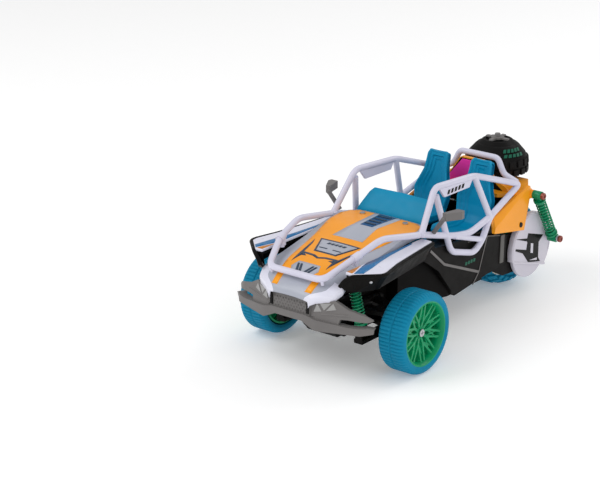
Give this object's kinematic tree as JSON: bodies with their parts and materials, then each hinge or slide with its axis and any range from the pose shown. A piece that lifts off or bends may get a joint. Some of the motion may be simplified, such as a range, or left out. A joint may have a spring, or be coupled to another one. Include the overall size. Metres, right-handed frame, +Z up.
{
  "type": "remote control car",
  "caption": "Radio-controlled roadster toy with two steered front wheels, one wide driven rear wheel, roll cage, sprung suspension and a spare wheel on the rear deck.",
  "frame": {"origin": "on the ground, half way along the length, on the middle plane", "axes": "+X to the car's left, +Y towards its tail (the nose points to -Y), +Z up"},
  "size_m": [0.149, 0.29, 0.119],
  "materials": {
    "black_plastic": "matte",
    "dark_grey_plastic": "satin",
    "bumper_grey": "matte",
    "orange_shell": "satin",
    "white_shell": "satin",
    "cage_white": "satin",
    "cyan_plastic": "matte",
    "cyan_tyre": "matte",
    "black_tyre": "matte",
    "green_rim": "satin",
    "green_shock": "satin",
    "green_spring": "satin",
    "steel": "satin",
    "brass": "satin",
    "cream_nylon": "satin",
    "battery_wrap": "satin",
    "board_green": "satin",
    "grey_plastic": "satin",
    "white_cover": "satin"
  },
  "bodies": {
    "chassis": {"chassis_tub": "black_plastic", "side_panel_left": "black_plastic", "side_panel_right": "black_plastic", "front_bumper": "bumper_grey", "hood": "orange_shell", "fender_left": "white_shell", "fender_right": "white_shell", "front_cage": "cage_white", "door_hoop_left": "cage_white", "door_hoop_right": "cage_white", "rear_hoop": "cage_white", "dashboard": "cyan_plastic", "cockpit_liner": "black_plastic", "seat_left": "cyan_plastic", "seat_right": "cyan_plastic", "mirrors": "grey_plastic", "rear_body": "orange_shell", "spare_wheel": "black_tyre", "spare_clamp": "grey_plastic", "battery_pack": "battery_wrap", "battery_door": "black_plastic", "circuit_board": "board_green", "steering_servo": "dark_grey_plastic", "body_screws": "steel", "hinge_pins": "steel"},
    "switch": {"power_switch": "green_rim"},
    "horn": {"servo_horn": "cream_nylon"},
    "rack": {"steering_rack": "dark_grey_plastic"},
    "swing": {"swing_arm": "black_plastic", "gear_case_lid": "black_plastic", "gear_covers": "white_cover", "motor": "steel"},
    "pinion": {"motor_pinion": "brass"},
    "idler": {"idler_gear": "cream_nylon"},
    "rear_wheel": {"drive_axle": "steel", "rear_rim": "green_rim", "rear_tyre": "cyan_tyre"},
    "rear_shock_body": {"rear_shock_bodies": "green_shock", "rear_springs": "green_spring"},
    "rear_shock_rod": {"rear_shock_rods": "green_shock"},
    "left_lower_arm": {"lower_arm_left": "black_plastic"},
    "left_upper_arm": {"upper_arm_left": "black_plastic"},
    "left_carrier": {"hub_carrier_left": "black_plastic"},
    "left_knuckle": {"knuckle_left": "dark_grey_plastic", "wheel_screw_left": "steel"},
    "left_wheel": {"front_rim_left": "green_rim", "front_tyre_left": "cyan_tyre"},
    "left_shock_body": {"front_shock_body_left": "green_shock", "front_spring_left": "green_spring"},
    "left_shock_rod": {"front_shock_rod_left": "green_shock"},
    "right_lower_arm": {"lower_arm_right": "black_plastic"},
    "right_upper_arm": {"upper_arm_right": "black_plastic"},
    "right_carrier": {"hub_carrier_right": "black_plastic"},
    "right_knuckle": {"knuckle_right": "dark_grey_plastic", "wheel_screw_right": "steel"},
    "right_wheel": {"front_rim_right": "green_rim", "front_tyre_right": "cyan_tyre"},
    "right_shock_body": {"front_shock_body_right": "green_shock", "front_spring_right": "green_spring"},
    "right_shock_rod": {"front_shock_rod_right": "green_shock"}
  },
  "joints": [
    {"name": "left_arm", "type": "hinge", "parent": "chassis", "child": "left_lower_arm", "pos_m": [0.017, -0.081, 0.024], "axis": [0, -1, 0], "range_deg": [-6, 8], "stiffness_Nm_per_rad": 2, "springref_deg": -1.15},
    {"name": "left_upper_arm_pivot", "type": "hinge", "parent": "chassis", "child": "left_upper_arm", "pos_m": [0.017, -0.081, 0.04], "axis": [0, -1, 0], "range_deg": [-6.2, 8.2]},
    {"name": "left_carrier_pivot", "type": "hinge", "parent": "left_lower_arm", "child": "left_carrier", "pos_m": [0.044, -0.081, 0.024], "axis": [0, -1, 0], "range_deg": [-8.2, 6.2]},
    {"name": "left_steer", "type": "hinge", "parent": "left_carrier", "child": "left_knuckle", "pos_m": [0.05, -0.081, 0.03], "axis": [0, 0, 1], "range_deg": [-20, 20]},
    {"name": "left_wheel_spin", "type": "hinge", "parent": "left_knuckle", "child": "left_wheel", "pos_m": [0.06325, -0.081, 0.03], "axis": [1, 0, 0], "continuous": true},
    {"name": "left_shock_tilt", "type": "hinge", "parent": "chassis", "child": "left_shock_body", "pos_m": [0.0265, -0.105, 0.067], "axis": [0, -1, 0], "range_deg": [-1.5, 1.5]},
    {"name": "left_shock_slide", "type": "slide", "parent": "left_shock_body", "child": "left_shock_rod", "axis": [0.2394, 0, -0.9709], "range_m": [-0.003, 0.0023], "deforming": ["front_spring_left"]},
    {"name": "right_arm", "type": "hinge", "parent": "chassis", "child": "right_lower_arm", "pos_m": [-0.017, -0.081, 0.024], "axis": [0, 1, 0], "range_deg": [-6, 8], "stiffness_Nm_per_rad": 2, "springref_deg": -1.15},
    {"name": "right_upper_arm_pivot", "type": "hinge", "parent": "chassis", "child": "right_upper_arm", "pos_m": [-0.017, -0.081, 0.04], "axis": [0, 1, 0], "range_deg": [-6.2, 8.2]},
    {"name": "right_carrier_pivot", "type": "hinge", "parent": "right_lower_arm", "child": "right_carrier", "pos_m": [-0.044, -0.081, 0.024], "axis": [0, 1, 0], "range_deg": [-8.2, 6.2]},
    {"name": "right_steer", "type": "hinge", "parent": "right_carrier", "child": "right_knuckle", "pos_m": [-0.05, -0.081, 0.03], "axis": [0, 0, 1], "range_deg": [-20.5, 20.5]},
    {"name": "right_wheel_spin", "type": "hinge", "parent": "right_knuckle", "child": "right_wheel", "pos_m": [-0.06325, -0.081, 0.03], "axis": [1, 0, 0], "continuous": true},
    {"name": "right_shock_tilt", "type": "hinge", "parent": "chassis", "child": "right_shock_body", "pos_m": [-0.0265, -0.105, 0.067], "axis": [0, 1, 0], "range_deg": [-1.5, 1.5]},
    {"name": "right_shock_slide", "type": "slide", "parent": "right_shock_body", "child": "right_shock_rod", "axis": [-0.2394, 0, -0.9709], "range_m": [-0.003, 0.0023], "deforming": ["front_spring_right"]},
    {"name": "rack_slide", "type": "slide", "parent": "chassis", "child": "rack", "axis": [1, 0, 0], "range_m": [-0.005, 0.005]},
    {"name": "horn_turn", "type": "hinge", "parent": "chassis", "child": "horn", "pos_m": [0, -0.056, 0.038], "axis": [0, 0, 1], "range_deg": [-26, 26]},
    {"name": "swing_pivot", "type": "hinge", "parent": "chassis", "child": "swing", "pos_m": [0, 0.061, 0.05], "axis": [1, 0, 0], "range_deg": [-4, 5], "stiffness_Nm_per_rad": 8, "springref_deg": -1.15},
    {"name": "rear_wheel_spin", "type": "hinge", "parent": "swing", "child": "rear_wheel", "pos_m": [0, 0.109, 0.036], "axis": [1, 0, 0], "continuous": true},
    {"name": "idler_spin", "type": "hinge", "parent": "swing", "child": "idler", "pos_m": [0.035, 0.078, 0.036], "axis": [1, 0, 0], "continuous": true},
    {"name": "pinion_spin", "type": "hinge", "parent": "swing", "child": "pinion", "pos_m": [0.03, 0.058, 0.036], "axis": [1, 0, 0], "continuous": true},
    {"name": "rear_shock_tilt", "type": "hinge", "parent": "chassis", "child": "rear_shock_body", "pos_m": [0, 0.1055, 0.0804], "axis": [1, 0, 0], "range_deg": [-5.5, 7.5]},
    {"name": "rear_shock_slide", "type": "slide", "parent": "rear_shock_body", "child": "rear_shock_rod", "axis": [0, 0.5244, -0.8514], "range_m": [-0.0069, 0.005], "deforming": ["rear_springs"]},
    {"name": "switch_slide", "type": "slide", "parent": "chassis", "child": "switch", "axis": [0, 1, 0], "range_m": [0, 0.004]}
  ],
  "couplings": [
    {"joint": "left_upper_arm_pivot", "follows": "left_arm", "ratio": 1},
    {"joint": "left_carrier_pivot", "follows": "left_arm", "ratio": -1},
    {"joint": "left_shock_tilt", "follows": "left_arm", "ratio": -0.06597},
    {"joint": "left_shock_slide", "follows": "left_arm", "m_per_rad": -0.019427},
    {"joint": "right_upper_arm_pivot", "follows": "right_arm", "ratio": 1},
    {"joint": "right_carrier_pivot", "follows": "right_arm", "ratio": -1},
    {"joint": "right_shock_tilt", "follows": "right_arm", "ratio": -0.06597},
    {"joint": "right_shock_slide", "follows": "right_arm", "m_per_rad": -0.019427},
    {"joint": "right_steer", "follows": "left_steer", "ratio": 1},
    {"joint": "rack_slide", "follows": "left_steer", "m_per_rad": -0.014},
    {"joint": "horn_turn", "follows": "left_steer", "ratio": -1.2727},
    {"joint": "rear_shock_tilt", "follows": "swing_pivot", "ratio": 0.97723},
    {"joint": "rear_shock_slide", "follows": "swing_pivot", "m_per_rad": -0.053826},
    {"joint": "idler_spin", "follows": "rear_wheel_spin", "ratio": -1.0667},
    {"joint": "pinion_spin", "follows": "rear_wheel_spin", "ratio": 3.2}
  ]
}
